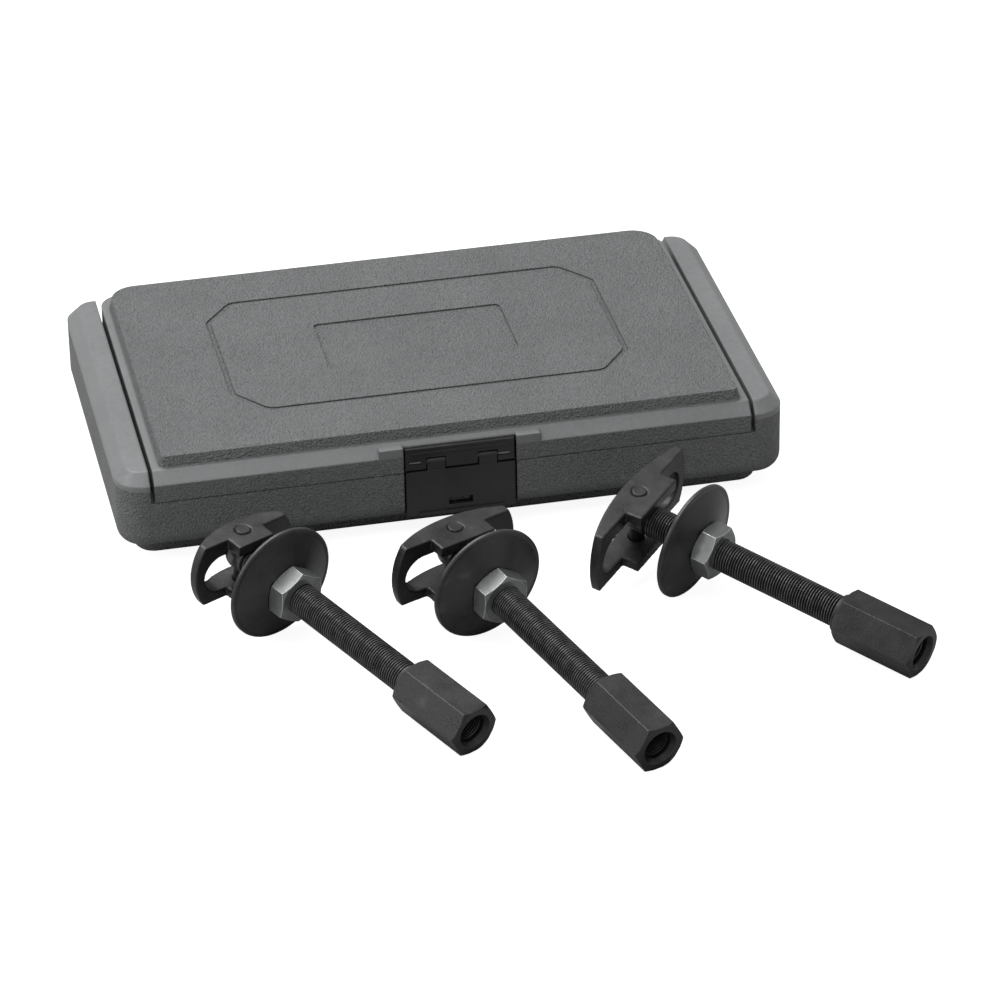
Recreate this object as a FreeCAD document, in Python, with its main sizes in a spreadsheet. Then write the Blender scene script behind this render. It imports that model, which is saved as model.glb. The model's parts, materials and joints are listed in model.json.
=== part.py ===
# Rear axle bearing puller set: a blow-moulded case with a hinged, latched lid, and three pullers that lie
# in front of it. Each puller is a screw with a swinging claw on one end and a hexagon coupling on the other,
# with a loose washer and its nut between them.
#
# Frame, in millimetres: +X along the case's length, +Y towards its hinges, +Z up. The origin is the centre
# of the case's underside, on the surface that everything stands on.
import FreeCAD, Part
import math
import os
import Sketcher

App = FreeCAD
doc = App.newDocument("BearingPullerSet")

# ---------------------------------------------------------------- driving dimensions
DIMENSIONS = {
    # case
    "case_length": 335.0,
    "case_depth": 192.0,
    "case_corner": 14.0,
    "seam_height": 37.0,
    "seam_gap": 0.3,
    "shoulder_height": 52.0,
    "shoulder_chamfer": 5.7,
    "panel_height": 58.0,
    "wall": 3.0,
    "cheek_width": 16.0,
    "lid_side_gap": 2.0,
    "foot_length": 315.0,
    "foot_depth": 159.0,
    "foot_height": 11.0,
    "cheek_overhang": 2.0,
    "foot_corner": 10.0,
    "foot_chamfer": 1.0,
    "belly_radius": 8.0,
    # raised panel on the lid
    "panel_length": 292.0,
    "panel_front": 89.8,
    "panel_back": 94.3,
    "panel_front_corner": 4.0,
    "panel_back_corner": 15.0,
    "lid_back_corner": 12.0,
    "outline_corner": 7.0,
    "panel_lean": 1.5,
    "outline_length": 203.0,
    "outline_depth": 117.0,
    "outline_cut_x": 15.0,
    "outline_cut_y": 19.0,
    "outline_width": 2.6,
    "outline_sink": 0.7,
    "outline_shift": 4.0,
    "label_length": 97.0,
    "label_depth": 49.5,
    "label_corner": 3.0,
    "label_sink": 0.8,
    # latch
    "latch_shift": 2.0,
    "latch_width": 54.8,
    "latch_side_gap": 1.0,
    "block_width": 12.0,
    "block_height": 50.8,
    "plate_top": 49.2,
    "plate_thickness": 4.1,
    "plate_front": 94.8,
    "flap_front": 95.8,
    "flap_thickness": 2.8,
    "flap_bottom": 12.0,
    "latch_axis_y": 92.7,
    "latch_axis_z": 40.6,
    "tongue_width": 9.0,
    "tongue_spacing": 26.0,
    "tongue_radius": 2.7,
    "latch_pin_diameter": 2.4,
    "latch_recess_back": 89.2,
    "window_width": 12.0,
    "window_bottom": 16.4,
    "window_height": 3.8,
    # hinges
    "hinge_axis_y": 100.0,
    "knuckle_radius": 3.7,
    "knuckle_length": 11.6,
    "knuckle_pitch": 12.0,
    "hinge_offset": 80.0,
    "hinge_pin_diameter": 3.0,
    # wells for the pullers
    "well_back": 76.0,
    "well_step": 24.0,
    "well_front": 86.0,
    "well_floor": 5.0,
    "channel_width": 34.0,
    "channel_floor": 14.0,
    # pullers
    "screw_diameter": 15.875,
    "hexagon": 23.8,
    "coupling_length": 43.6,
    "collar_diameter": 19.0,
    "collar_length": 2.6,
    "screw_in_coupling": 14.0,
    "thread_minor": 14.5,
    "thread_depth": 27.0,
    "mouth_diameter": 17.8,
    "mouth_depth": 2.4,
    "nut_length": 9.8,
    "thread_clearance": 0.05,
    "washer_diameter": 59.0,
    "washer_bore": 16.9,
    "washer_thickness": 2.4,
    "washer_flange": 2.2,
    "washer_rise": 5.4,
    "washer_seat_radius": 12.6,
    "claw_height": 33.6,
    "claw_lip": 5.6,
    "claw_window": 19.8,
    "claw_window_drop": 4.4,
    "claw_fork_above": 8.3,
    "claw_fork_back": 9.0,
    "claw_fork_radius": 12.8,
    "claw_edge": 4.6,
    "claw_drop": 2.8,
    "claw_front": 2.4,
    "claw_shank_end": 11.0,
    "claw_pin_diameter": 7.5,
    "claw_pin_proud": 0.6,
}

# Each puller: where its washer stands on the surface, the heading of its screw in degrees, how far the
# washer is from the claw's pin, the roll of its claw about the screw, the claw's swing, the radius of the
# claw's domed front, the reach of that dome past the pin, half the width of the shank, and the nut's roll.
PULLERS = {
    "small": {
        "washer_x": -101.4, "washer_y": -170.6, "heading": -60.76, "washer_at": 28.8, "reach": 170.2,
        "roll": 0.5, "swing": -0.9, "rim": 29.4, "nose": 11.7, "shank": 10.4, "nut_roll": 27.7,
    },
    "medium": {
        "washer_x": -5.9, "washer_y": -194.3, "heading": -68.46, "washer_at": 29.2, "reach": 172.3,
        "roll": -1.1, "swing": 3.6, "rim": 35.0, "nose": 11.1, "shank": 15.9, "nut_roll": 29.0,
    },
    "large": {
        "washer_x": 98.8, "washer_y": -179.4, "heading": -48.14, "washer_at": 32.7, "reach": 163.6,
        "roll": 6.5, "swing": 6.0, "rim": 43.2, "nose": 9.6, "shank": 17.5, "nut_roll": -3.4,
    },
}

# Where each puller's well lies in the case, and how wide its broad end is.
WELLS = {"small": (-107.0, 68.0), "medium": (-27.0, 72.0), "large": (73.0, 100.0)}

sheet = doc.addObject("Spreadsheet::Sheet", "Dims")
pieces = []


def fill_sheet():
    """Write every driving dimension into the sheet, each cell with its alias."""
    values = dict(DIMENSIONS)
    for size, puller in PULLERS.items():
        for key, value in puller.items():
            values[f"{size}_{key}"] = value
    for size, (centre, width) in WELLS.items():
        values[f"{size}_well_x"] = centre
        values[f"{size}_well_width"] = width
    for row, (alias, value) in enumerate(values.items(), start=1):
        sheet.set(f"A{row}", alias)
        sheet.set(f"B{row}", str(value))
        sheet.setAlias(f"B{row}", alias)
    doc.recompute()


def dim(alias):
    """A driving dimension's number, for places that an expression can't reach."""
    return float(sheet.get(alias))


def dims(expression):
    """Point every name written as @alias in an expression at the sheet's cell."""
    return expression.replace("@", "Dims.")


def bind(feature, **expressions):
    """Tie a feature's properties to expressions of the sheet's cells."""
    for name, expression in expressions.items():
        feature.setExpression(name.replace("__", "."), dims(expression))
    return feature


# ---------------------------------------------------------------- sketches and features
def new_body(name):
    body = doc.addObject("PartDesign::Body", name)
    body.Label = name
    return body


def origin_plane(body, role):
    return next(plane for plane in body.Origin.OriginFeatures if plane.Role == role)


def new_sketch(body, name, plane="XY_Plane", offset="0"):
    """A sketch on one of the body's origin planes, lifted along the plane's normal."""
    sketch = body.newObject("Sketcher::SketchObject", name)
    sketch.AttachmentSupport = [(origin_plane(body, plane), "")]
    sketch.MapMode = "FlatFace"
    sketch.setExpression(".AttachmentOffset.Base.z", dims(offset))
    return sketch


def pin_point(sketch, geometry, point, across, up):
    """Hold a point of a sketch at a place given by two expressions, measured from the sketch's origin."""
    for kind, expression in (("DistanceX", across), ("DistanceY", up)):
        index = sketch.addConstraint(Sketcher.Constraint(kind, -1, 1, geometry, point, 1.0))
        sketch.setExpression(f"Constraints[{index}]", dims(expression))


def hold_radius(sketch, geometry, expression):
    index = sketch.addConstraint(Sketcher.Constraint("Radius", geometry, 1.0))
    sketch.setExpression(f"Constraints[{index}]", dims(expression))


def value_of(expression):
    return float(sheet.evalExpression(dims(expression)))


def draw_polygon(sketch, corners):
    """A closed outline of straight sides. Each corner is a pair of expressions."""
    spots = [App.Vector(value_of(across), value_of(up), 0) for across, up in corners]
    first = sketch.GeometryCount
    for start, end in zip(spots, spots[1:] + spots[:1]):
        sketch.addGeometry(Part.LineSegment(start, end), False)
    for index, (across, up) in enumerate(corners):
        following = (index + 1) % len(corners)
        sketch.addConstraint(Sketcher.Constraint("Coincident", first + index, 2, first + following, 1))
        pin_point(sketch, first + index, 1, across, up)


def draw_rectangle(sketch, left, bottom, right, top):
    draw_polygon(sketch, [(left, bottom), (right, bottom), (right, top), (left, top)])


def draw_circle(sketch, radius, across="0", up="0"):
    centre = App.Vector(value_of(across), value_of(up), 0)
    circle = sketch.addGeometry(Part.Circle(centre, App.Vector(0, 0, 1), value_of(radius)), False)
    pin_point(sketch, circle, 3, across, up)
    hold_radius(sketch, circle, radius)


def draw_rounded_rectangle(sketch, half_x, front, back, front_radius, back_radius):
    """A rectangle about the Y axis, from y = -front to y = +back, with an arc at each corner."""
    corners = [
        (f"{half_x} - {back_radius}", f"{back} - {back_radius}", back_radius, 0),
        (f"-({half_x} - {back_radius})", f"{back} - {back_radius}", back_radius, 1),
        (f"-({half_x} - {front_radius})", f"-({front} - {front_radius})", front_radius, 2),
        (f"{half_x} - {front_radius}", f"-({front} - {front_radius})", front_radius, 3),
    ]
    arcs = []
    for across, up, radius, quarter in corners:
        centre = App.Vector(value_of(across), value_of(up), 0)
        circle = Part.Circle(centre, App.Vector(0, 0, 1), value_of(radius))
        start = quarter * math.pi / 2
        arcs.append(sketch.addGeometry(Part.ArcOfCircle(circle, start, start + math.pi / 2), False))
    for arc, following in zip(arcs, arcs[1:] + arcs[:1]):
        start = sketch.getPoint(arc, 2)
        end = sketch.getPoint(following, 1)
        side = sketch.addGeometry(Part.LineSegment(start, end), False)
        sketch.addConstraint(Sketcher.Constraint("Tangent", arc, 2, side, 1))
        sketch.addConstraint(Sketcher.Constraint("Tangent", side, 2, following, 1))
    for arc, (across, up, radius, quarter) in zip(arcs, corners):
        pin_point(sketch, arc, 3, across, up)
        hold_radius(sketch, arc, radius)


def pad(body, sketch, name, length, both_ways=False):
    feature = body.newObject("PartDesign::Pad", name)
    feature.Profile = sketch
    feature.Midplane = both_ways
    bind(feature, Length=length)
    doc.recompute()
    return feature


def loft(body, low_sketch, high_sketch, name):
    """Join two outlines with straight sides."""
    feature = body.newObject("PartDesign::AdditiveLoft", name)
    feature.Profile = low_sketch
    feature.Sections = [high_sketch]
    feature.Ruled = True
    doc.recompute()
    return feature


def pocket(body, sketch, name, length=None, both_ways=False, reverse=False):
    """Cut a sketch through the body, or to a depth. The body has to lose volume."""
    before = body.Shape.Volume
    feature = body.newObject("PartDesign::Pocket", name)
    feature.Profile = sketch
    feature.Midplane = both_ways
    feature.Reversed = reverse
    if length is None:
        feature.Type = "ThroughAll"
    else:
        bind(feature, Length=length)
    doc.recompute()
    if body.Shape.Volume > before - 0.01:
        raise RuntimeError(f"{name} cuts nothing")
    return feature


def revolve(body, sketch, name, axis="H_Axis"):
    feature = body.newObject("PartDesign::Revolution", name)
    feature.Profile = sketch
    feature.ReferenceAxis = (sketch, [axis])
    feature.Angle = 360
    doc.recompute()
    return feature


def edges_where(shape, test):
    return [f"Edge{index}" for index, edge in enumerate(shape.Edges, start=1) if test(edge)]


def dress(body, kind, name, test, **expressions):
    """A fillet or chamfer on every edge of the body that passes the test."""
    base = body.Tip
    names = edges_where(base.Shape, test)
    feature = body.newObject(f"PartDesign::{kind}", name)
    feature.Base = (base, names)
    bind(feature, **expressions)
    doc.recompute()
    return feature


def edge_at_height(height):
    """A test for edges that lie wholly at one height."""
    def test(edge):
        box = edge.BoundBox
        return abs(box.ZMin - height) < 1e-4 and abs(box.ZMax - height) < 1e-4
    return test


def box(name, low, size):
    """A block from its low corner and its size, each three expressions."""
    feature = doc.addObject("Part::Box", name)
    bind(feature, Length=size[0], Width=size[1], Height=size[2])
    bind(feature, Placement__Base__x=low[0], Placement__Base__y=low[1], Placement__Base__z=low[2])
    return feature


def rod_along_x(name, radius, length, start):
    """A cylinder that runs towards +X from a start point given as three expressions."""
    feature = doc.addObject("Part::Cylinder", name)
    feature.Placement.Rotation = App.Rotation(App.Vector(0, 1, 0), 90)
    bind(feature, Radius=radius, Height=length)
    bind(feature, Placement__Base__x=start[0], Placement__Base__y=start[1], Placement__Base__z=start[2])
    return feature


def fuse(name, shapes):
    feature = doc.addObject("Part::MultiFuse", name)
    feature.Shapes = shapes
    return feature


def cut(name, base, tool):
    feature = doc.addObject("Part::Cut", name)
    feature.Base = base
    feature.Tool = tool
    return feature


def keep(feature, label):
    """List a finished piece under the name of its file."""
    feature.Label = label
    pieces.append(feature)
    return feature


# ---------------------------------------------------------------- hinges of the case
def knuckles(side, owner):
    """One hinge's moulded knuckles: the base has the first, third and fifth, the lid those between."""
    turns = (-2, 0, 2) if owner == "base" else (-1, 1)
    middle = f"{side} * @hinge_offset"
    parts = []
    for turn in turns:
        start = f"{middle} + {turn} * @knuckle_pitch - @knuckle_length / 2"
        tag = f"{owner}_{'right' if side > 0 else 'left'}_{turn + 2}"
        axis = (start, "@hinge_axis_y", "@seam_height")
        parts.append(rod_along_x(f"barrel_{tag}", "@knuckle_radius", "@knuckle_length", axis))
        if owner == "base":
            low = (start, "@case_depth / 2 - 2", "@seam_height - @knuckle_radius")
            size = ("@knuckle_length", "@hinge_axis_y - @case_depth / 2 + 2", "@knuckle_radius")
        else:
            low = (start, "@case_depth / 2 - 2", "@seam_height + @seam_gap / 2")
            size = ("@knuckle_length", "@hinge_axis_y - @case_depth / 2 + 2",
                    "@knuckle_radius - @seam_gap / 2")
        parts.append(box(f"web_{tag}", low, size))
    return parts


def hinge_bore(side, owner):
    """The hole for the hinge's wire: tight in the base's knuckles and free in the lid's."""
    clearance = "0" if owner == "base" else "0.06"
    start = (f"{side} * @hinge_offset - 3 * @knuckle_pitch", "@hinge_axis_y", "@seam_height")
    name = f"bore_{owner}_{'right' if side > 0 else 'left'}"
    return rod_along_x(name, f"@hinge_pin_diameter / 2 + {clearance}", "6 * @knuckle_pitch", start)


def hinge_pin(side):
    name = "hinge_pin_right" if side > 0 else "hinge_pin_left"
    length = "5 * @knuckle_pitch"
    start = (f"{side} * @hinge_offset - 2.5 * @knuckle_pitch", "@hinge_axis_y", "@seam_height")
    keep(rod_along_x(name, "@hinge_pin_diameter / 2", length, start), name)


# ---------------------------------------------------------------- case base
def base_tub():
    """The moulded outside of the base, with the two tall cheeks that the lid drops between."""
    body = new_body("base_tub")
    half_y = "@case_depth / 2"
    back = f"({half_y} + @cheek_overhang)"
    corner = "@case_corner"
    outline = new_sketch(body, "tub_outline", offset="@foot_height")
    draw_rounded_rectangle(outline, "@case_length / 2", half_y, back, corner, corner)
    pad(body, outline, "tub", "@shoulder_height - @foot_height")
    dress(body, "Chamfer", "shoulder", edge_at_height(dim("shoulder_height")), Size="@shoulder_chamfer")
    dress(body, "Fillet", "belly", edge_at_height(dim("foot_height")), Radius="@belly_radius")
    foot = new_sketch(body, "foot_outline")
    foot_y = "@foot_depth / 2"
    draw_rounded_rectangle(foot, "@foot_length / 2", foot_y, foot_y, "@foot_corner", "@foot_corner")
    pad(body, foot, "foot", "@foot_height + 1")
    dress(body, "Chamfer", "foot_edge", edge_at_height(0.0), Size="@foot_chamfer")
    opening = new_sketch(body, "lid_space", offset="@seam_height - @seam_gap / 2")
    inner = "(@case_length / 2 - @cheek_width)"
    draw_rectangle(opening, f"-{inner}", f"-{half_y} - 5", inner, f"{half_y} + 5")
    pocket(body, opening, "lid_seat", "@panel_height", reverse=True)
    return body


def well_boxes(size, grow, tag):
    """The two blocks of one puller's well: broad for the claw, washer and nut, narrow for the rest."""
    centre = f"@{size}_well_x"
    width = f"(@{size}_well_width + 2 * {grow})"
    channel = f"(@channel_width + 2 * {grow})"
    broad = box(
        f"{tag}_broad_{size}",
        (f"{centre} - {width} / 2", f"@well_step - {grow}", f"@well_floor - {grow}"),
        (width, f"@well_back - @well_step + 2 * {grow}", "@seam_height"),
    )
    narrow = box(
        f"{tag}_narrow_{size}",
        (f"{centre} - {channel} / 2", f"-@well_front - {grow}", f"@channel_floor - {grow}"),
        (channel, f"@well_front + @well_step + {grow}", "@seam_height"),
    )
    return [broad, narrow]


def base_hollow():
    """The air inside the double wall: the inside of the outer skin, less the skins of the wells."""
    inner_x = "@case_length / 2 - @wall"
    inner_y = "(@case_depth / 2 - @wall - 4)"
    deck = "@seam_height - @seam_gap / 2 - @wall"
    spaces = [
        box("hollow_tub", (f"-({inner_x} - 3)", f"-{inner_y}", "@foot_height + @wall + 4"),
            (f"2 * ({inner_x} - 3)", f"2 * {inner_y}", f"{deck} - @foot_height - @wall - 4")),
        box("hollow_foot", ("-(@foot_length / 2 - 8)", "-(@foot_depth / 2 - 6)", "@wall"),
            ("@foot_length - 16", "@foot_depth - 12", "@foot_height + @wall + 2")),
    ]
    for side, name in ((-1, "left"), (1, "right")):
        low = "@case_length / 2 - @cheek_width + @wall"
        start = low if side > 0 else "-(@case_length / 2 - @wall - 1.5)"
        spaces.append(box(f"hollow_cheek_{name}", (start, f"-({inner_y} - 5)", f"{deck} - 1"),
                          ("@cheek_width - 2 * @wall - 1.5", f"2 * ({inner_y} - 5)",
                           "@shoulder_height - @wall - @seam_height + 2")))
    skins = []
    for size in PULLERS:
        skins += well_boxes(size, "@wall", "skin")
    skins.append(box("skin_latch", ("@latch_shift - @latch_width / 2 - 5", "-@case_depth / 2", "0"),
                     ("@latch_width + 10", "14", "@seam_height")))
    return cut("base_air", fuse("base_spaces", spaces), fuse("base_skins", skins))


def case_base():
    recess = box(
        "flap_recess",
        ("@latch_shift - @latch_width / 2 - @latch_side_gap", "-@case_depth / 2 - 5", "@foot_height - 1"),
        ("@latch_width + 2 * @latch_side_gap", "@case_depth / 2 + 5 - (@flap_front - @flap_thickness - 0.6)",
         "@seam_height"),
    )
    nub = box(
        "catch_nub",
        ("@latch_shift - @window_width / 2 + 0.6", "-(@flap_front - @flap_thickness - 0.25)",
         "@window_bottom + 0.4"),
        ("@window_width - 1.2", "2", "@window_height - 0.8"),
    )
    wells = []
    for size in PULLERS:
        wells += well_boxes(size, "0", "well")
    trim = box("back_trim", ("-@case_length / 2 + @cheek_width", "@case_depth / 2", "-1"),
               ("@case_length - 2 * @cheek_width", "20", "@panel_height"))
    moulding = cut("base_moulding", base_tub(), fuse("base_trims", [recess, trim]))
    solid = fuse("base_solid", [moulding, nub] + knuckles(-1, "base") + knuckles(1, "base"))
    open_parts = fuse("base_cuts", wells + [hinge_bore(-1, "base"), hinge_bore(1, "base")])
    keep(cut("case_base", cut("base_open", solid, open_parts), base_hollow()), "case_base")


# ---------------------------------------------------------------- case lid
def draw_outline(sketch, inset):
    """The eight-cornered outline pressed into the lid's panel."""
    across = f"(@outline_length / 2 - {inset})"
    up = f"(@outline_depth / 2 - {inset})"
    cut_x = f"(@outline_cut_x - 0.35 * {inset})"
    cut_y = f"(@outline_cut_y - 0.35 * {inset})"
    shift = "@outline_shift"
    draw_polygon(sketch, [
        (f"-{across}", f"{shift} - {up} + {cut_y}"),
        (f"-{across} + {cut_x}", f"{shift} - {up}"),
        (f"{across} - {cut_x}", f"{shift} - {up}"),
        (across, f"{shift} - {up} + {cut_y}"),
        (across, f"{shift} + {up} - {cut_y}"),
        (f"{across} - {cut_x}", f"{shift} + {up}"),
        (f"-{across} + {cut_x}", f"{shift} + {up}"),
        (f"-{across}", f"{shift} + {up} - {cut_y}"),
    ])


def lid_shell():
    """The lid's outside: a shouldered slab, the raised panel, and the hollow underneath."""
    body = new_body("lid_shell")
    half_x = "(@case_length / 2 - @cheek_width - @lid_side_gap)"
    half_y = "@case_depth / 2"
    under = "@seam_height + @seam_gap / 2"
    sketch = new_sketch(body, "slab_outline", offset=under)
    draw_rectangle(sketch, f"-{half_x}", f"-{half_y}", half_x, half_y)
    pad(body, sketch, "slab", f"@shoulder_height - ({under})")

    def front_edge(edge):
        spot = edge.BoundBox
        return abs(spot.ZMin - dim("shoulder_height")) < 1e-4 and spot.YMax < -dim("case_depth") / 2 + 0.01
    dress(body, "Chamfer", "front_slope", front_edge, Size="@shoulder_chamfer")

    def back_corner(edge):
        spot = edge.BoundBox
        return spot.YMin > dim("case_depth") / 2 - 0.01 and spot.XLength < 0.01 and spot.ZLength > 5
    dress(body, "Fillet", "back_corners", back_corner, Radius="@lid_back_corner")
    low = new_sketch(body, "panel_foot", offset="@shoulder_height - 0.1")
    draw_rounded_rectangle(low, "@panel_length / 2", "@panel_front", "@panel_back",
                           "@panel_front_corner", "@panel_back_corner")
    high = new_sketch(body, "panel_top", offset="@panel_height")
    draw_rounded_rectangle(high, "(@panel_length / 2 - @panel_lean)", "(@panel_front - @panel_lean)",
                           "(@panel_back - @panel_lean)", "(@panel_front_corner - @panel_lean)",
                           "(@panel_back_corner - @panel_lean)")
    loft(body, low, high, "panel")
    ring = new_sketch(body, "outline_ring", offset="@panel_height")
    draw_outline(ring, "0")
    draw_outline(ring, "@outline_width")
    pocket(body, ring, "pressed_outline", "@outline_sink")

    def outline_corner(edge):
        spot = edge.BoundBox
        upright = spot.XLength < 0.01 and spot.YLength < 0.01
        return upright and abs(spot.ZMax - dim("panel_height")) < 1e-4 and abs(spot.ZLength - dim(
            "outline_sink")) < 1e-4
    dress(body, "Fillet", "outline_corners", outline_corner, Radius="@outline_corner")
    label = new_sketch(body, "label_outline", offset="@panel_height")
    draw_rounded_rectangle(label, "@label_length / 2", "(@label_depth / 2 - @outline_shift)",
                           "(@label_depth / 2 + @outline_shift)", "@label_corner", "@label_corner")
    pocket(body, label, "label_recess", "@label_sink")
    broad = new_sketch(body, "hollow_low", offset=under)
    draw_rounded_rectangle(broad, f"({half_x} - @wall)", "(@latch_recess_back - @wall)",
                           f"({half_y} - @wall)", "3", "(@lid_back_corner - 2)")
    pocket(body, broad, "low_hollow", "@shoulder_height - @wall - @seam_height", reverse=True)
    upper = new_sketch(body, "hollow_high", offset=under)
    draw_rounded_rectangle(upper, "(@panel_length / 2 - 1.5 * @wall)", "(@panel_front - 1.5 * @wall)",
                           "(@panel_back - 1.5 * @wall)", "3", "(@panel_back_corner - @wall)")
    pocket(body, upper, "high_hollow", "@panel_height - @wall - @seam_height", reverse=True)
    return body


def case_lid():
    centre = "@latch_shift"
    half = "(@latch_width / 2 + @latch_side_gap)"
    blocks = []
    for side, name in ((-1, "left"), (1, "right")):
        start = f"{centre} + {half}" if side > 0 else f"{centre} - {half} - @block_width"
        blocks.append(box(f"latch_block_{name}", (start, "-@case_depth / 2", "@seam_height + @seam_gap / 2"),
                          ("@block_width", "8", "@block_height - @seam_height - @seam_gap / 2")))
    recess = box("latch_recess", (f"{centre} - {half}", "-@case_depth / 2 - 5", "@seam_height - 1"),
                 (f"2 * {half}", "@case_depth / 2 + 5 - @latch_recess_back", "@plate_top + 0.2 - @seam_height + 1"))
    brow = box("brow_space", (f"{centre} - {half}", "-@case_depth / 2 - 5", "@seam_height"),
               (f"2 * {half}", "@case_depth / 2 + 5 - @plate_front + 1.8", "@panel_height - @seam_height"))
    solid = fuse("lid_solid", [lid_shell()] + blocks + knuckles(-1, "lid") + knuckles(1, "lid"))
    cuts = fuse("lid_cuts", [recess, brow, hinge_bore(-1, "lid"), hinge_bore(1, "lid")])
    keep(cut("case_lid", solid, cuts), "case_lid")


# ---------------------------------------------------------------- latch
def tongue_left_edge(side):
    return f"@latch_shift + {side} * @tongue_spacing / 2 + 1 - @tongue_width / 2"


def latch_plate():
    """The upper half of the latch, fixed to the lid, slotted for the flap's two tongues."""
    body = box("plate_slab", ("@latch_shift - @latch_width / 2", "-@plate_front", "@seam_height + @seam_gap"),
               ("@latch_width", "@plate_thickness", "@plate_top - @seam_height - @seam_gap"))
    rib = box("plate_rib", ("@latch_shift - @latch_width / 2 + 3", "-@plate_front - 0.5", "@plate_top - 3.2"),
              ("@latch_width - 6", "2", "1.1"))
    cuts = []
    for side, name in ((-1, "left"), (1, "right")):
        cuts.append(box(
            f"tongue_slot_{name}",
            (f"{tongue_left_edge(side)} - 0.4", "-@plate_front - 5", "@seam_height"),
            ("@tongue_width + 0.8", "20", "@latch_axis_z + @tongue_radius + 0.4 - @seam_height"),
        ))
        end = f"@latch_shift + {side} * (@latch_width / 2 - 5) - 3"
        cuts.append(box(f"end_notch_{name}", (end, "-@plate_front - 1", "@seam_height + 3.2"),
                        ("6", "2.2", "1.6")))
    cuts.append(rod_along_x("plate_bore", "@latch_pin_diameter / 2", "@latch_width",
                            ("@latch_shift - @latch_width / 2", "-@latch_axis_y", "@latch_axis_z")))
    keep(cut("latch_plate", fuse("plate_solid", [body, rib]), fuse("plate_cuts", cuts)), "latch_plate")


def latch_flap():
    """The lower half of the latch: a flap with two tongues that the pin holds, and a catch window."""
    parts = [box("flap_slab", ("@latch_shift - @latch_width / 2", "-@flap_front", "@flap_bottom"),
                 ("@latch_width", "@flap_thickness", "@seam_height - @seam_gap - @flap_bottom"))]
    for side, name in ((-1, "left"), (1, "right")):
        start = tongue_left_edge(side)
        parts.append(box(f"tongue_{name}", (start, "-@latch_axis_y - @tongue_radius", "@seam_height - 3"),
                         ("@tongue_width", "@tongue_radius - 0.3", "@latch_axis_z - @seam_height + 3")))
        parts.append(rod_along_x(f"tongue_eye_{name}", "@tongue_radius", "@tongue_width",
                                 (start, "-@latch_axis_y", "@latch_axis_z")))
    lip = box("flap_lip", ("@latch_shift - @latch_width / 2 + 6", "-@flap_front - 0.9", "@flap_bottom"),
              ("@latch_width - 12", "2", "1.8"))
    window = box("flap_window", ("@latch_shift - @window_width / 2", "-@case_depth / 2 - 5", "@window_bottom"),
                 ("@window_width", "12", "@window_height"))
    bore = rod_along_x("flap_bore", "@latch_pin_diameter / 2 + 0.05", "@latch_width",
                       ("@latch_shift - @latch_width / 2", "-@latch_axis_y", "@latch_axis_z"))
    solid = fuse("flap_solid", parts + [lip])
    keep(cut("latch_flap", solid, fuse("flap_cuts", [window, bore])), "latch_flap")


def latch_pin():
    start = ("@latch_shift - @latch_width / 2 + 2", "-@latch_axis_y", "@latch_axis_z")
    pin = rod_along_x("latch_pin", "@latch_pin_diameter / 2", "@latch_width - 4", start)
    keep(pin, "latch_pin")


# ---------------------------------------------------------------- pullers
def puller_frame(size):
    """Where a puller lies. Its own X runs from the claw's pin along the screw to the coupling."""
    lean = math.degrees(math.atan2(dim("washer_diameter") / 2 - dim("hexagon") / 2,
                                   dim(f"{size}_reach") - dim(f"{size}_washer_at")))
    heading = App.Rotation(App.Vector(0, 0, 1), dim(f"{size}_heading"))
    rotation = heading * App.Rotation(App.Vector(0, 1, 0), lean)
    height = (dim("washer_diameter") / 2 + 0.15) * math.cos(math.radians(lean))
    washer = App.Vector(dim(f"{size}_washer_x"), dim(f"{size}_washer_y"), height)
    start = washer - rotation.multVec(App.Vector(dim(f"{size}_washer_at"), 0, 0))
    return App.Placement(start, rotation)


def turned(axis, degrees):
    return App.Placement(App.Vector(0, 0, 0), App.Rotation(axis, degrees))


def draw_hexagon(sketch):
    """A hexagon whose flats face up and down, centred on the screw."""
    corner = "@hexagon / sqrt(3)"
    half = "@hexagon / 2"
    draw_polygon(sketch, [
        (f"{corner}", "0"), (f"{corner} / 2", half), (f"-{corner} / 2", half),
        (f"-{corner}", "0"), (f"-{corner} / 2", f"-{half}"), (f"{corner} / 2", f"-{half}"),
    ])


def crown(name, start, end, flat_radius, reach):
    """The turned envelope that rounds off a hexagon's corners at both ends."""
    body = new_body(name)
    sketch = new_sketch(body, f"{name}_profile", plane="XZ_Plane")
    rise = f"(({reach} - {flat_radius}) * tan(30))"
    draw_polygon(sketch, [
        (start, "0"), (start, flat_radius), (f"{start} + {rise}", reach),
        (f"{end} - {rise}", reach), (end, flat_radius), (end, "0"),
    ])
    revolve(body, sketch, f"{name}_turned")
    return body


def common(name, shapes):
    feature = doc.addObject("Part::MultiCommon", name)
    feature.Shapes = shapes
    return feature


def hexagon_bar(name, start, length):
    body = new_body(name)
    sketch = new_sketch(body, f"{name}_outline", plane="YZ_Plane", offset=start)
    draw_hexagon(sketch)
    pad(body, sketch, f"{name}_bar", length)
    return body


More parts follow.
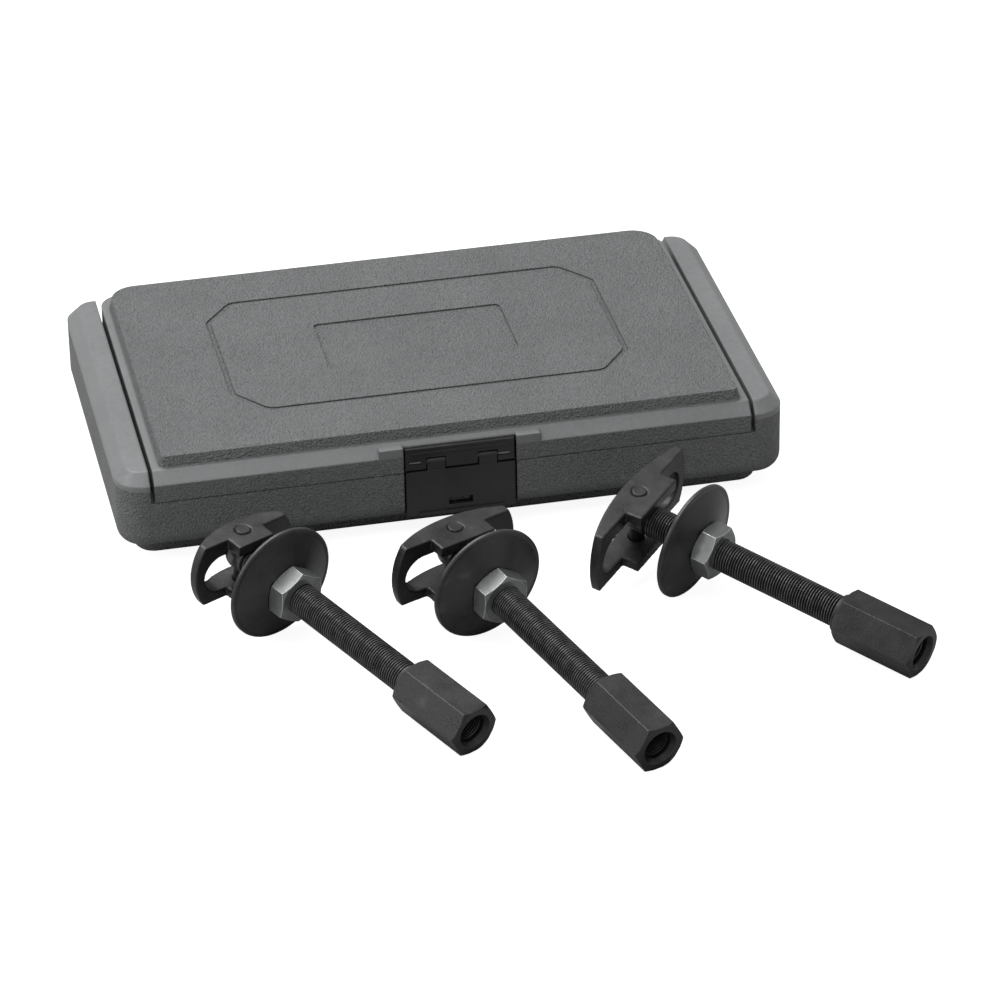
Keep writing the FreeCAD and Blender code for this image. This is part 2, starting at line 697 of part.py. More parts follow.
def screw(size, frame):
    """The threaded screw: a round bar with a ball end that the claw's pin goes through."""
    body = new_body(f"{size}_screw")
    sketch = new_sketch(body, f"{size}_screw_profile", plane="XZ_Plane")
    radius = "@screw_diameter / 2"
    end = f"@{size}_reach - @coupling_length + @screw_in_coupling"
    arc = Part.ArcOfCircle(Part.Circle(App.Vector(0, 0, 0), App.Vector(0, 0, 1), value_of(radius)),
                           math.pi / 2, math.pi)
    ball = sketch.addGeometry(arc, False)
    spots = [("-@screw_diameter / 2", "0"), (end, "0"), (end, radius), ("0", radius)]
    vectors = [App.Vector(value_of(across), value_of(up), 0) for across, up in spots]
    lines = [sketch.addGeometry(Part.LineSegment(a, b), False) for a, b in zip(vectors, vectors[1:])]
    for line, following in zip(lines, lines[1:]):
        sketch.addConstraint(Sketcher.Constraint("Coincident", line, 2, following, 1))
    sketch.addConstraint(Sketcher.Constraint("Coincident", lines[-1], 2, ball, 1))
    sketch.addConstraint(Sketcher.Constraint("Coincident", ball, 2, lines[0], 1))
    for line, (across, up) in zip(lines, spots):
        pin_point(sketch, line, 1, across, up)
    pin_point(sketch, ball, 3, "0", "0")
    sketch.addConstraint(Sketcher.Constraint("Vertical", -1, 1, ball, 1))
    revolve(body, sketch, f"{size}_screw_turned")
    eye = new_sketch(body, f"{size}_eye")
    draw_circle(eye, "@claw_pin_diameter / 2")
    pocket(body, eye, f"{size}_pin_hole", "2 * @screw_diameter", both_ways=True)
    body.Placement = frame * turned(App.Vector(1, 0, 0), dim(f"{size}_roll"))
    keep(body, f"{size}_screw")


def coupling(size, frame):
    """The long hexagon on the screw's end, with a neck collar, a socket for the screw and a threaded bore."""
    tip = f"@{size}_reach"
    start = f"({tip} - @coupling_length)"
    bar = hexagon_bar(f"{size}_coupling_bar", start, "@coupling_length")
    envelope = crown(f"{size}_coupling_crown", start, tip, "@hexagon / 2 + 0.2", "@hexagon * 0.62")
    hexagon = common(f"{size}_coupling_hexagon", [bar, envelope])
    collar = rod_along_x(f"{size}_collar", "@collar_diameter / 2", "@collar_length + 1",
                         (f"{start} - @collar_length", "0", "0"))
    socket = rod_along_x(f"{size}_socket", "@screw_diameter / 2", "@screw_in_coupling + @collar_length",
                         (f"{start} - @collar_length", "0", "0"))
    bore = rod_along_x(f"{size}_bore", "@thread_minor / 2", "@thread_depth",
                       (f"{tip} - @thread_depth", "0", "0"))
    mouth = doc.addObject("Part::Cone", f"{size}_mouth")
    mouth.Placement.Rotation = App.Rotation(App.Vector(0, 1, 0), 90)
    bind(mouth, Radius1="@thread_minor / 2", Radius2="@mouth_diameter / 2",
         Height="@mouth_depth", Placement__Base__x=f"{tip} - @mouth_depth")
    solid = fuse(f"{size}_coupling_solid", [hexagon, collar])
    piece = cut(f"{size}_coupling", solid, fuse(f"{size}_coupling_cuts", [socket, bore, mouth]))
    piece.Placement = frame
    keep(piece, f"{size}_coupling")


def nut(size, frame):
    """The hexagon nut that pushes the washer along the screw."""
    start = f"(@{size}_washer_at + @washer_thickness / 2 + @washer_rise + 0.05)"
    bar = hexagon_bar(f"{size}_nut_bar", start, "@nut_length")
    envelope = crown(f"{size}_nut_crown", start, f"({start} + @nut_length)", "@hexagon / 2 - 0.2",
                     "@hexagon * 0.62")
    hole = rod_along_x(f"{size}_nut_hole", "@screw_diameter / 2 + @thread_clearance", "@nut_length + 2",
                       (f"{start} - 1", "0", "0"))
    piece = cut(f"{size}_nut", common(f"{size}_nut_hexagon", [bar, envelope]), hole)
    piece.Placement = frame * turned(App.Vector(1, 0, 0), dim(f"{size}_nut_roll"))
    keep(piece, f"{size}_nut")


def washer(size, frame):
    """The broad dished washer that spreads the nut's push: a narrow flat rim, a cone and a flat seat."""
    body = new_body(f"{size}_washer")
    sketch = new_sketch(body, f"{size}_washer_profile", plane="XZ_Plane")
    front = f"(@{size}_washer_at - @washer_thickness / 2)"
    back = f"(@{size}_washer_at + @washer_thickness / 2)"
    rim = "@washer_diameter / 2"
    draw_polygon(sketch, [
        (f"{front} + @washer_rise", "@washer_bore / 2"), (f"{front} + @washer_rise", "@washer_seat_radius"),
        (front, f"{rim} - @washer_flange"), (front, f"{rim} - 0.6"), (f"{front} + 0.6", rim),
        (f"{back} - 0.6", rim), (back, f"{rim} - 0.6"), (back, f"{rim} - @washer_flange"),
        (f"{back} + @washer_rise", "@washer_seat_radius"), (f"{back} + @washer_rise", "@washer_bore / 2"),
    ])
    revolve(body, sketch, f"{size}_washer_turned")
    body.Placement = frame
    keep(body, f"{size}_washer")


def claw(size, frame):
    """The swinging claw: a round-backed disc cut flat above and below, with a window and a forked shank."""
    rim = f"@{size}_rim"
    depth = f"(@{size}_nose + @claw_front - @claw_edge)"
    dome = f"(({depth} ^ 2 + {rim} ^ 2) / (2 * {depth}))"
    floor = "-@claw_height / 2 - @claw_drop"
    ball = doc.addObject("Part::Sphere", f"{size}_ball")
    bind(ball, Radius=dome, Placement__Base__x=f"{dome} - @{size}_nose", Placement__Base__z="-@claw_drop")
    disc = rod_along_x(f"{size}_disc", rim, f"@{size}_nose + 1 + @claw_front",
                       (f"-@{size}_nose - 1", "0", "-@claw_drop"))
    slab = box(f"{size}_slab", (f"-@{size}_nose - 1", f"-{rim} - 1", floor),
               (f"@{size}_nose + 1 + @claw_front", f"2 * {rim} + 2", "@claw_height"))
    plate = common(f"{size}_plate", [common(f"{size}_dome", [ball, disc]), slab])
    shank = box(f"{size}_shank_block", ("0", f"-@{size}_shank", floor),
                ("@claw_shank_end", f"2 * @{size}_shank", "@claw_height"))
    end = f"({rim} - @claw_lip - @claw_window / 2)"
    window = box(f"{size}_window", ("-60", f"-{end}", "-@claw_window / 2 - @claw_window_drop"),
                 ("120", f"2 * {end}", "@claw_window"))
    ends = [rod_along_x(f"{size}_window_{name}", "@claw_window / 2", "120",
                        ("-60", f"{side} * {end}", "-@claw_window_drop"))
            for side, name in ((-1, "right"), (1, "left"))]
    below = "(@claw_window / 2 + @claw_window_drop)"
    fork = box(f"{size}_fork", ("@claw_front", f"-@{size}_shank", f"-{below}"),
               ("60", f"2 * @{size}_shank", f"@claw_fork_above + {below}"))
    pocket_round = doc.addObject("Part::Cylinder", f"{size}_pocket_round")
    bind(pocket_round, Radius=f"min(@claw_fork_radius; @{size}_shank)", Height=f"@claw_fork_above + {below}",
         Placement__Base__z=f"-{below}")
    pocket_block = box(f"{size}_pocket_block", ("-@claw_fork_back", "-30", f"-{below}"),
                       ("60", "60", f"@claw_fork_above + {below}"))
    room = common(f"{size}_pocket", [pocket_round, pocket_block])
    bore = doc.addObject("Part::Cylinder", f"{size}_claw_bore")
    bind(bore, Radius="@claw_pin_diameter / 2 + 0.03", Height="2 * @claw_height",
         Placement__Base__z="-@claw_height")
    solid = fuse(f"{size}_claw_solid", [plate, shank])
    piece = cut(f"{size}_claw", solid, fuse(f"{size}_claw_cuts", [window, fork, room, bore] + ends))
    piece.Placement = frame * turned(App.Vector(1, 0, 0), dim(f"{size}_roll")) * turned(
        App.Vector(0, 0, 1), dim(f"{size}_swing"))
    keep(piece, f"{size}_claw")


def claw_pin(size, frame):
    """The riveted pin that the claw swings on, its two ends standing a little proud of the claw."""
    body = new_body(f"{size}_claw_pin")
    sketch = new_sketch(body, f"{size}_pin_profile", plane="XZ_Plane")
    radius = "@claw_pin_diameter / 2"
    bottom = "(-@claw_height / 2 - @claw_drop - @claw_pin_proud)"
    top = "(@claw_height / 2 - @claw_drop + @claw_pin_proud)"
    draw_polygon(sketch, [
        ("0", bottom), (f"{radius} - 0.6", bottom), (radius, f"{bottom} + 0.6"),
        (radius, f"{top} - 0.6"), (f"{radius} - 0.6", top), ("0", top),
    ])
    revolve(body, sketch, f"{size}_pin_turned", axis="V_Axis")
    body.Placement = frame * turned(App.Vector(1, 0, 0), dim(f"{size}_roll"))
    keep(body, f"{size}_claw_pin")


def puller(size):
    frame = puller_frame(size)
    for make in (screw, coupling, nut, washer, claw, claw_pin):
        make(size, frame)


# ---------------------------------------------------------------- build, check and write
def check(feature):
    bad = [state for state in feature.State if state in ("Invalid", "Error")]
    if bad:
        raise RuntimeError(f"{feature.Label} is {bad}")


def write_files():
    """Stop at any failed feature, then write each piece to its own file."""
    for feature in doc.Objects:
        check(feature)
    for piece in pieces:
        shape = piece.Shape
        if shape.isNull() or not shape.isValid():
            raise RuntimeError(f"{piece.Label} has no valid shape")
    os.makedirs("parts", exist_ok=True)
    for piece in pieces:
        piece.Shape.exportStep(os.path.join("parts", f"{piece.Label}.step"))
        print(f"{piece.Label:18s} {piece.Shape.Volume / 1000:9.2f} cm3  {len(piece.Shape.Solids)} solid")


fill_sheet()
case_base()
case_lid()
hinge_pin(-1)
hinge_pin(1)
latch_plate()
latch_flap()
latch_pin()
for size in PULLERS:
    puller(size)
doc.recompute()
write_files()
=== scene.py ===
import bmesh
import bpy
import json
import math
from mathutils import Matrix, Vector


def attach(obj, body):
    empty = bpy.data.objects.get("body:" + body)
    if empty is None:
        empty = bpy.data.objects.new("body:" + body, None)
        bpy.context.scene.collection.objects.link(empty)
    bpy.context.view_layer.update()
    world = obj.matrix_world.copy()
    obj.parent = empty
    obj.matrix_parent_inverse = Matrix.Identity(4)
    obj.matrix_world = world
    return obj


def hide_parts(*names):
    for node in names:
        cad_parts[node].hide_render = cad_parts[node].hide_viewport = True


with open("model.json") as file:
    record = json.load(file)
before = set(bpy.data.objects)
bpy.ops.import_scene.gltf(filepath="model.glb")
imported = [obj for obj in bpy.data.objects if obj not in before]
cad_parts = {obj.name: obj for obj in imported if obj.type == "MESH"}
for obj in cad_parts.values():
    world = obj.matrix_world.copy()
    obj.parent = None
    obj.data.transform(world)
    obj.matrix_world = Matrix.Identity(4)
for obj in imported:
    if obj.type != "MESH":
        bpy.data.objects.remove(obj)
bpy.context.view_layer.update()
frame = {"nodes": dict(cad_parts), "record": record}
scene = bpy.context.scene
SIZES = ("small", "medium", "large")
PITCH = 25.4e-3 / 18  # of the 5/8-18 thread
CREST = 15.875e-3 / 2  # the thread's outer radius
ROOT = CREST - 0.61 * PITCH  # the radius at the bottom of its grooves
CREST_ROUNDING = 0.03e-3
ROOT_OVERLAP = 0.05e-3  # how far the thread's flanks dip into the core under them
PLAIN_END = 7.2e-3  # from the claw's pin to where the screw's thread begins
COUPLING_LENGTH = 43.6e-3
SCREW_IN_COUPLING = 14.0e-3
MOUNT_TO_TIP = 14.7e-3  # from a coupling's mount, mid-way along its thread, to the coupling's end
RIDGES_FROM = 21e-3  # how far behind the coupling's end the ridges in its bore start
RIDGES_TO = 1.6e-3  # and where they end
RIDGE_ROOT = 7.32e-3  # the ridges' radii, from within the bore's wall inwards
RIDGE_FOOT = 7.26e-3
RIDGE_TOP = 6.70e-3
PIN_RADIUS = 3.75e-3
DRILL_LENGTH = 40e-3  # more than a screw's thickness
CLAW_VOXEL = 0.45e-3
GRAIN_FADE = 0.0004  # the height over which the plastic's grain comes and goes
joints = {joint["name"]: joint for joint in frame["record"]["behaviour"]["joints"]}
mounts = {mount["name"]: mount for mount in frame["record"]["mounts"]}


# ---------------------------------------------------------------- materials
class Look:
    """A material built up from its Principled shader, with short names for the usual nodes."""

    def __init__(self, name):
        self.material = bpy.data.materials.new(name)
        self.material.use_nodes = True
        self.tree = self.material.node_tree
        self.shader = self.tree.nodes["Principled BSDF"]
        self.place = self.tree.nodes.new("ShaderNodeTexCoord").outputs["Object"]

    def link(self, output, socket):
        self.tree.links.new(output, socket)

    def node(self, kind, settings=None, inputs=None):
        """Add a node. An input is given as a number or a colour, or as the output that feeds it."""
        made = self.tree.nodes.new(kind)
        for name, value in (settings or {}).items():
            setattr(made, name, value)
        for name, value in (inputs or {}).items():
            if isinstance(value, bpy.types.NodeSocket):
                self.link(value, made.inputs[name])
            else:
                made.inputs[name].default_value = value
        return made

    def noise(self, scale, detail=3.0, roughness=0.5, stretch=None):
        place = self.place
        if stretch:
            mapping = self.node("ShaderNodeMapping", inputs={
                "Vector": self.place, "Scale": stretch})
            place = mapping.outputs["Vector"]
        made = self.node("ShaderNodeTexNoise", inputs={
            "Vector": place, "Scale": scale, "Detail": detail, "Roughness": roughness})
        return made.outputs["Fac"]

    def pebbles(self, scale, smooth):
        made = self.node("ShaderNodeTexVoronoi", {"feature": "SMOOTH_F1"}, {
            "Vector": self.place, "Scale": scale, "Smoothness": smooth})
        return made.outputs["Distance"]

    def span(self, value, low, high, to_low=0.0, to_high=1.0):
        """Carry a value smoothly from one range to another, and hold it past the ends."""
        made = self.node("ShaderNodeMapRange", {"interpolation_type": "SMOOTHSTEP"}, {
            "Value": value, "From Min": low, "From Max": high, "To Min": to_low, "To Max": to_high})
        return made.outputs["Result"]

    def maths(self, operation, *values):
        made = self.node("ShaderNodeMath", {"operation": operation}, dict(enumerate(values)))
        return made.outputs[0]

    def axis(self, name):
        split = self.node("ShaderNodeSeparateXYZ", inputs={"Vector": self.place})
        return split.outputs[name]

    def colours(self, value, stops):
        """Give the base colour by (position, colour) stops along a value."""
        ramp = self.tree.nodes.new("ShaderNodeValToRGB")
        elements = ramp.color_ramp.elements
        while len(elements) < len(stops):
            elements.new(0.5)
        for element, (position, colour) in zip(elements, stops):
            element.position = position
            element.color = (*colour, 1.0)
        self.link(value, ramp.inputs["Fac"])
        self.link(ramp.outputs["Color"], self.shader.inputs["Base Color"])
        return ramp.outputs["Color"]

    def painted_gap_shade(self, reach):
        """How open the surface is, from 0 in a narrow gap to 1 in the open, by ambient occlusion,
        for painted shade.
        """
        made = self.node("ShaderNodeAmbientOcclusion", {"samples": 4}, {"Distance": reach})
        return made.outputs["AO"]

    def edges(self, radius):
        """A mask of the edges, where the rounded normal leaves the flat one, for corners paled
        partly by rubbed wear and partly as a painted highlight.
        """
        rounded = self.node("ShaderNodeBevel", {"samples": 6}, {"Radius": radius}).outputs["Normal"]
        flat = self.node("ShaderNodeNewGeometry").outputs["True Normal"]
        turn = self.node("ShaderNodeVectorMath", {"operation": "DOT_PRODUCT"}, {
            0: rounded, 1: flat})
        return self.span(turn.outputs["Value"], 0.94, 0.995, 1.0, 0.0)

    def shaded(self, colour, openness):
        """Multiply a colour by the openness, so that gaps go dark with painted shade."""
        made = self.node("ShaderNodeVectorMath", {"operation": "SCALE"}, {
            0: colour, "Scale": openness})
        self.link(made.outputs["Vector"], self.shader.inputs["Base Color"])

    def rough(self, value):
        self.link(value, self.shader.inputs["Roughness"])

    def relief(self, layers, edge=0.0):
        """Bump layers, each (height, metres deep, strength), on top of softened edges."""
        normal = None
        if edge:
            bevel = self.node("ShaderNodeBevel", {"samples": 6}, {"Radius": edge})
            normal = bevel.outputs["Normal"]
        for height, deep, strength in layers:
            made = self.node("ShaderNodeBump", inputs={
                "Height": height, "Distance": deep, "Strength": strength})
            if normal:
                self.link(normal, made.inputs["Normal"])
            normal = made.outputs["Normal"]
        self.link(normal, self.shader.inputs["Normal"])


def case_plastic(name, smooth_from, smooth_to):
    """Grey polyethylene with a pebbled grain, left smooth between two heights, with painted shade
    darkening it in gaps.
    """
    look = Look(name)
    height = look.axis("Z")
    above = look.span(height, smooth_to, smooth_to + GRAIN_FADE)
    below = look.span(height, smooth_from - GRAIN_FADE, smooth_from, 1.0, 0.0)
    grained = look.maths("MAXIMUM", above, below)
    wide = look.noise(26.0, 4.0)
    fine = look.noise(420.0, 2.0)
    pebbles = look.pebbles(1000.0, 0.4)
    valleys = look.maths("MULTIPLY", look.maths("MULTIPLY", pebbles, grained), -0.40)
    cloudy = look.maths("ADD", look.maths("MULTIPLY", wide, 0.5), look.maths("MULTIPLY", fine, 0.5))
    mottle = look.maths("ADD", cloudy, valleys)
    colour = look.colours(mottle, [(0.05, (0.120, 0.123, 0.125)), (0.6, (0.180, 0.184, 0.186))])
    # Painted shade: the colour goes dark in gaps and seams, by ambient occlusion.
    look.shaded(colour, look.span(look.painted_gap_shade(0.0022), 0.30, 0.85, 0.10, 1.0))
    scuffs = look.span(look.noise(60.0, 6.0, 0.65, (1.0, 5.0, 1.0)), 0.58, 0.75, 0.0, 0.08)
    grainy = look.span(grained, 0.0, 1.0, 0.33, 0.52)
    rough = look.maths("ADD", grainy, look.span(fine, 0.3, 0.7, 0.0, 0.08))
    look.rough(look.maths("SUBTRACT", rough, scuffs))
    pits = look.noise(1900.0, 3.0, 0.6)
    strength = look.maths("ADD", look.maths("MULTIPLY", grained, 0.92), 0.06)
    layers = [(wide, 0.002, 0.05), (pebbles, 0.0012, strength), (pits, 0.0006, strength)]
    look.relief(layers, edge=0.0016)
    return look.material


def black_plastic():
    """Satin black moulding, for the latch."""
    look = Look("latch_black")
    fine = look.noise(700.0, 2.0)
    wide = look.noise(90.0, 4.0)
    colour = look.colours(wide, [(0.35, (0.014, 0.014, 0.015)), (0.7, (0.022, 0.022, 0.023))])
    # Painted shade: darker in gaps, by ambient occlusion.
    look.shaded(colour, look.span(look.painted_gap_shade(0.0015), 0.25, 0.8, 0.1, 1.0))
    look.rough(look.span(wide, 0.3, 0.7, 0.28, 0.42))
    look.relief([(fine, 0.0002, 0.3), (wide, 0.001, 0.08)], edge=0.0005)
    return look.material


def black_steel(name, dark, light, rough_low, rough_high, edge=0.0, grain=0.35):
    """Black oxide on machined or forged steel: mottled, with paler rubbed spots, paler edges that
    are partly rubbed wear and partly a painted highlight, and painted shade darkening it in gaps.
    """
    look = Look(name)
    wide = look.noise(70.0, 6.0, 0.6)
    fine = look.noise(900.0, 3.0)
    tone = wide
    if edge:
        # Paler edges: partly rubbed wear, partly a painted highlight.
        tone = look.maths("ADD", wide, look.maths("MULTIPLY", look.edges(edge), 0.30))
    colour = look.colours(tone, [(0.3, dark), (0.62, light), (0.95, tuple(3.2 * c for c in light))])
    # Painted shade: darker in gaps and hollows, by ambient occlusion.
    look.shaded(colour, look.span(look.painted_gap_shade(0.006), 0.1, 0.9, 0.3, 1.0))
    look.rough(look.span(wide, 0.3, 0.7, rough_low, rough_high))
    look.relief([(wide, 0.0006, 0.12), (fine, 0.0002, grain)], edge)
    look.shader.inputs["Metallic"].default_value = 0.35
    return look.material


def zinc_plate():
    """Dull zinc plating with bright edges, partly rubbed wear and partly a painted highlight, for
    the nuts.
    """
    look = Look("zinc_plate")
    wide = look.noise(130.0, 5.0, 0.6)
    fine = look.noise(1500.0, 2.0)
    brushed = look.noise(500.0, 4.0, 0.6, (1.0, 1.0, 0.12))
    # Bright edges: partly rubbed wear, partly a painted highlight.
    edge_wear_and_highlight = look.maths("MULTIPLY", look.edges(0.0005), 0.7)
    tone = look.maths("ADD", look.maths("MULTIPLY", wide, 0.5), edge_wear_and_highlight)
    look.colours(tone, [
        (0.1, (0.17, 0.175, 0.175)), (0.35, (0.24, 0.25, 0.25)), (0.9, (0.70, 0.71, 0.70))])
    look.rough(look.span(brushed, 0.3, 0.7, 0.28, 0.42))
    look.relief([(brushed, 0.0002, 0.10), (fine, 0.0001, 0.10)], edge=0.0004)
    look.shader.inputs["Metallic"].default_value = 0.7
    return look.material


def thread_black(highlight_and_wear_from, highlight_and_wear_to):
    """Black oxide on a thread about its object's X axis, paler from one radius to the other:
    painted highlight on the crests and painted shade in the roots, mixed with patches of rubbed
    wear.
    """
    look = Look("thread_black")
    across = look.maths("POWER", look.axis("Y"), 2.0)
    up = look.maths("POWER", look.axis("Z"), 2.0)
    radius = look.maths("SQRT", look.maths("ADD", across, up))
    patches = look.noise(240.0, 4.0, 0.6)
    worn = look.span(patches, 0.2, 0.7, 0.6, 1.0)
    # Painted highlight on the crests and painted shade in the roots, by radius, varied by patches
    # of rubbed wear.
    painted_light_and_wear = look.maths("MULTIPLY", look.span(radius, highlight_and_wear_from, highlight_and_wear_to), worn)
    look.colours(painted_light_and_wear, [
        (0.0, (0.004, 0.004, 0.004)), (0.5, (0.016, 0.016, 0.017)), (1.0, (0.16, 0.16, 0.165))])
    look.rough(look.span(painted_light_and_wear, 0.0, 1.0, 0.5, 0.24))
    look.relief([(patches, 0.0003, 0.2)])
    look.shader.inputs["Metallic"].default_value = 0.6
    return look.material


def drawn_wire():
    """Bare steel wire with streaks along X, for the hinge pins and the latch pin."""
    look = Look("drawn_wire")
    streaks = look.noise(900.0, 3.0, 0.5, (0.05, 1.0, 1.0))
    look.colours(streaks, [(0.3, (0.22, 0.22, 0.23)), (0.7, (0.42, 0.42, 0.43))])
    look.rough(look.span(streaks, 0.3, 0.7, 0.25, 0.45))
    look.relief([(streaks, 0.0001, 0.2)], edge=0.0003)
    look.shader.inputs["Metallic"].default_value = 1.0
    return look.material


# The lid is smooth on its sloping shoulder, and the base on the cheeks' tops.
lid_plastic = case_plastic("lid_plastic", smooth_from=0.0464, smooth_to=0.0526)
base_plastic = case_plastic("base_plastic", smooth_from=0.0440, smooth_to=0.0700)
latch_black = black_plastic()
forged = black_steel(
    "forged_black", (0.016, 0.016, 0.017), (0.034, 0.034, 0.035), 0.25, 0.40)
pressed = black_steel(
    "pressed_black", (0.027, 0.027, 0.027), (0.045, 0.045, 0.045), 0.27, 0.40,
    edge=0.0005, grain=0.2)
turned = black_steel(
    "turned_black", (0.014, 0.014, 0.015), (0.026, 0.026, 0.027), 0.26, 0.42,
    edge=0.0006, grain=0.4)
# The screws' crests and the bore's ridge tops get a painted highlight, and their roots get painted
# shade.
threaded = thread_black(highlight_and_wear_from=0.0073, highlight_and_wear_to=0.0079)
bored = thread_black(highlight_and_wear_from=0.0074, highlight_and_wear_to=0.0066)
zinc = zinc_plate()
wire = drawn_wire()

FINISH = {
    "case_base": base_plastic, "case_lid": lid_plastic,
    "latch_plate": latch_black, "latch_flap": latch_black,
    "latch_pin": wire, "hinge_pin_left": wire, "hinge_pin_right": wire,
}
for size in SIZES:
    FINISH[f"{size}_claw"] = forged
    FINISH[f"{size}_claw_pin"] = turned
    FINISH[f"{size}_washer"] = pressed
    FINISH[f"{size}_coupling"] = turned
    FINISH[f"{size}_screw"] = turned
    FINISH[f"{size}_nut"] = zinc
for name, node in frame["nodes"].items():
    node.data.materials.clear()
    node.data.materials.append(FINISH[name])


# ---------------------------------------------------------------- rounded forgings
for size in SIZES:
    claw = frame["nodes"][f"{size}_claw"]
    remesh = claw.modifiers.new("even_mesh", "REMESH")
    remesh.mode = "VOXEL"
    remesh.voxel_size = CLAW_VOXEL
    remesh.use_smooth_shade = True
    soften = claw.modifiers.new("soft_edges", "SMOOTH")
    soften.factor = 0.5
    soften.iterations = 9


# ---------------------------------------------------------------- threads
def puller_frame(size):
    """The puller's own frame: origin on the claw's pin, X along the screw to the coupling."""
    swing = joints[f"{size}_claw_swing"]
    slide = joints[f"{size}_washer_slide"]
    along = Vector(slide["axis"]).normalized()
    up = Vector(swing["axis"])
    up = (up - up.dot(along) * along).normalized()
    side = up.cross(along)
    turn = Matrix((along, side, up)).transposed().to_4x4()
    return Matrix.Translation(Vector(swing["pos_m"])) @ turn


def mesh_object(name, build, material, matrix):
    """Add an object whose mesh is built by calling build with an empty bmesh."""
    mesh = bpy.data.meshes.new(name)
    shape = bmesh.new()
    build(shape)
    bmesh.ops.recalc_face_normals(shape, faces=shape.faces)
    shape.to_mesh(mesh)
    shape.free()
    made = bpy.data.objects.new(name, mesh)
    made.matrix_world = matrix
    mesh.materials.append(material)
    scene.collection.objects.link(made)
    return made


def lathe(shape, profile, steps=48):
    """Turn (x, radius) points about the X axis. A radius of zero closes the end."""
    rings = []
    for x, radius in profile:
        if radius == 0:
            rings.append([shape.verts.new((x, 0, 0))] * steps)
        else:
            angles = [2 * math.pi * step / steps for step in range(steps)]
            rings.append([shape.verts.new((x, radius * math.cos(angle), radius * math.sin(angle)))
                          for angle in angles])
    for ring, following in zip(rings, rings[1:]):
        for step in range(steps):
            after = (step + 1) % steps
            corners = [ring[step], ring[after], following[after], following[step]]
            shape.faces.new(list(dict.fromkeys(corners)))


def helix(shape, start, end, pitch, profile, steps=40):
    """A right-hand thread along X from (share of a pitch, radius) points. Both ends run out."""
    count = int((end - start) / pitch - 1) * steps
    root = profile[0][1]
    strips = []
    for number in range(count + 1):
        angle = 2 * math.pi * number / steps
        runout = min(1.0, number / steps, (count - number) / steps)
        strip = []
        for share, radius in profile:
            x = start + pitch * (number / steps + share)
            reach = root + (radius - root) * runout
            strip.append(shape.verts.new((x, reach * math.cos(angle), reach * math.sin(angle))))
        strips.append(strip)
    for strip, following in zip(strips, strips[1:]):
        for low in range(len(profile) - 1):
            shape.faces.new((strip[low], following[low], following[low + 1], strip[low + 1]))


def eye_cut(made, radius, length):
    """Take the pin's hole out of a piece, through its origin and along Z."""
    def drill(shape):
        bmesh.ops.create_cone(shape, cap_ends=True, segments=40,
                              radius1=radius, radius2=radius, depth=length)
    cutter = mesh_object("drill", drill, made.data.materials[0], made.matrix_world)
    hole = made.modifiers.new("pin_hole", "BOOLEAN")
    hole.operation = "DIFFERENCE"
    hole.object = cutter
    hole.solver = "EXACT"
    scene.view_layers[0].update()
    graph = bpy.context.evaluated_depsgraph_get()
    solid = bpy.data.meshes.new_from_object(made.evaluated_get(graph))
    made.modifiers.remove(hole)
    made.data = solid
    bpy.data.objects.remove(cutter)


def screw_shape(end):
    """Build a screw that runs from its ball, past a plain neck, to the end of its thread."""
    def build(shape):
        quarter = [step * math.pi / 20 for step in range(11)]
        ball = [(-CREST * math.cos(angle), CREST * math.sin(angle)) for angle in quarter]
        ball[0] = (-CREST, 0)
        lathe(shape, ball + [(PLAIN_END, CREST), (PLAIN_END + 0.8e-3, ROOT), (end, ROOT), (end, 0)])
        helix(shape, PLAIN_END - 0.2e-3, end, PITCH, [
            (0.0, ROOT - ROOT_OVERLAP), (0.12, ROOT), (0.42, CREST - CREST_ROUNDING),
            (0.56, CREST - CREST_ROUNDING), (0.88, ROOT), (1.0, ROOT - ROOT_OVERLAP)])
    return build


def ridge_shape(tip):
    """Build the ridges in a coupling's bore, standing in from the wall behind its mouth."""
    def build(shape):
        helix(shape, tip - RIDGES_FROM, tip - RIDGES_TO, PITCH, [
            (0.0, RIDGE_ROOT), (0.15, RIDGE_FOOT), (0.44, RIDGE_TOP),
            (0.56, RIDGE_TOP), (0.85, RIDGE_FOOT), (1.0, RIDGE_ROOT)])
    return build


for size in SIZES:
    place = puller_frame(size)
    mount = Vector(mounts[f"{size}_coupling_thread"]["pos_m"])
    tip = (place.inverted() @ mount).x + MOUNT_TO_TIP
    end = tip - COUPLING_LENGTH + SCREW_IN_COUPLING
    screw = mesh_object(f"{size}_screw_thread", screw_shape(end), threaded, place)
    eye_cut(screw, PIN_RADIUS, DRILL_LENGTH)
    screw.data.shade_smooth()
    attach(screw, f"{size}_puller")
    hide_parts(f"{size}_screw")
    ridge = mesh_object(f"{size}_coupling_thread", ridge_shape(tip), bored, place)
    ridge.data.shade_smooth()
    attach(ridge, f"{size}_puller")


# ---------------------------------------------------------------- room, light and camera
def aimed(name, data, place, target):
    made = bpy.data.objects.new(name, data)
    made.location = place
    made.rotation_euler = (Vector(target) - Vector(place)).to_track_quat("-Z", "Y").to_euler()
    scene.collection.objects.link(made)
    return made


def area_light(name, place, target, width, depth, power):
    data = bpy.data.lights.new(name, "AREA")
    data.shape = "RECTANGLE"
    data.size = width
    data.size_y = depth
    data.energy = power
    return aimed(name, data, place, target)


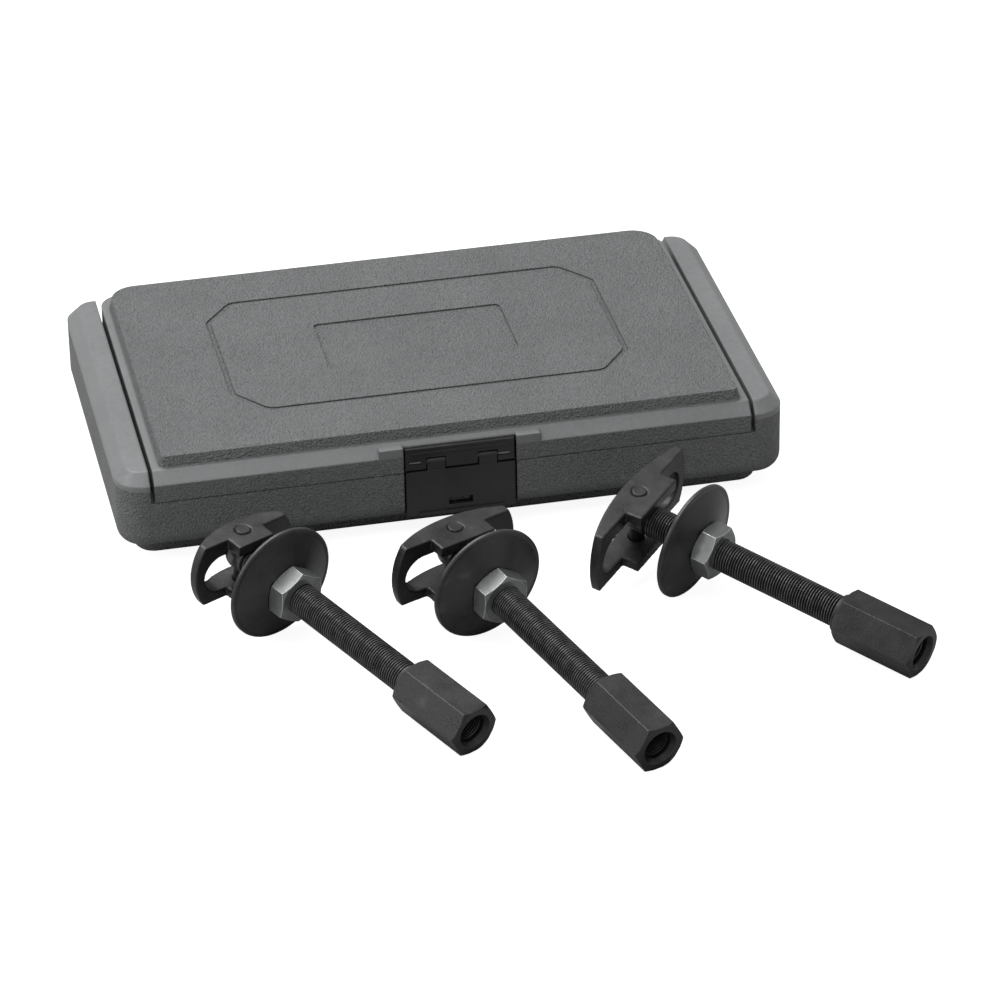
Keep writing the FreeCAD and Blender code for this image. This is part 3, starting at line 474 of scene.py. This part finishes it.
floor_look = Look("white_floor")
floor_grain = floor_look.noise(40.0, 4.0)
floor_look.colours(floor_grain, [(0.2, (0.34, 0.34, 0.34)), (0.8, (0.37, 0.37, 0.37))])
floor_look.rough(floor_look.span(floor_grain, 0.2, 0.8, 0.75, 0.9))
seen = floor_look.node("ShaderNodeLightPath").outputs["Is Camera Ray"]
floor_look.shader.inputs["Emission Color"].default_value = (1.0, 1.0, 1.0, 1.0)
glow = floor_look.maths("MULTIPLY", seen, 0.9)
floor_look.link(glow, floor_look.shader.inputs["Emission Strength"])


def floor_sheet(shape):
    corners = [(-6, -6, 0), (6, -6, 0), (6, 6, 0), (-6, 6, 0)]
    shape.faces.new([shape.verts.new(corner) for corner in corners])


floor = mesh_object("floor", floor_sheet, floor_look.material, Matrix.Identity(4))

world = bpy.data.worlds.new("studio")
scene.world = world
world.use_nodes = True
background = world.node_tree.nodes["Background"]
background.inputs["Color"].default_value = (1.0, 1.0, 1.0, 1.0)
background.inputs["Strength"].default_value = 0.5
area_light("top_light", (-0.40, 0.45, 1.5), (0, 0, 0), width=1.5, depth=1.1, power=25.0)
area_light("left_light", (-1.6, -0.2, 0.9), (0, 0, 0.02), width=1.0, depth=1.0, power=8.0)
area_light("front_light", (-0.3, -1.0, 1.8), (0, -0.1, 0), width=1.2, depth=0.5, power=5.0)

CAMERA_PLACE = (-0.3925, -2.0949, 1.2036)
CAMERA_ANGLES = (11.7, 30.2, 0.98)  # turned to the right, tilted down and rolled, in degrees
yaw, pitch, roll = (math.radians(angle) for angle in CAMERA_ANGLES)
ahead = Vector((math.sin(yaw) * math.cos(pitch), math.cos(yaw) * math.cos(pitch), -math.sin(pitch)))
level = Vector((math.cos(yaw), -math.sin(yaw), 0.0))
fall = ahead.cross(level)
across = level * math.cos(roll) + fall * math.sin(roll)
down = fall * math.cos(roll) - level * math.sin(roll)
lens = bpy.data.cameras.new("camera")
lens.lens = 172.03
lens.sensor_width = 36.0
lens.clip_end = 60.0
camera = bpy.data.objects.new("camera", lens)
scene.collection.objects.link(camera)
camera.matrix_world = (Matrix.Translation(CAMERA_PLACE)
                       @ Matrix((across, -down, -ahead)).transposed().to_4x4())
scene.camera = camera
scene.view_settings.view_transform = "Standard"
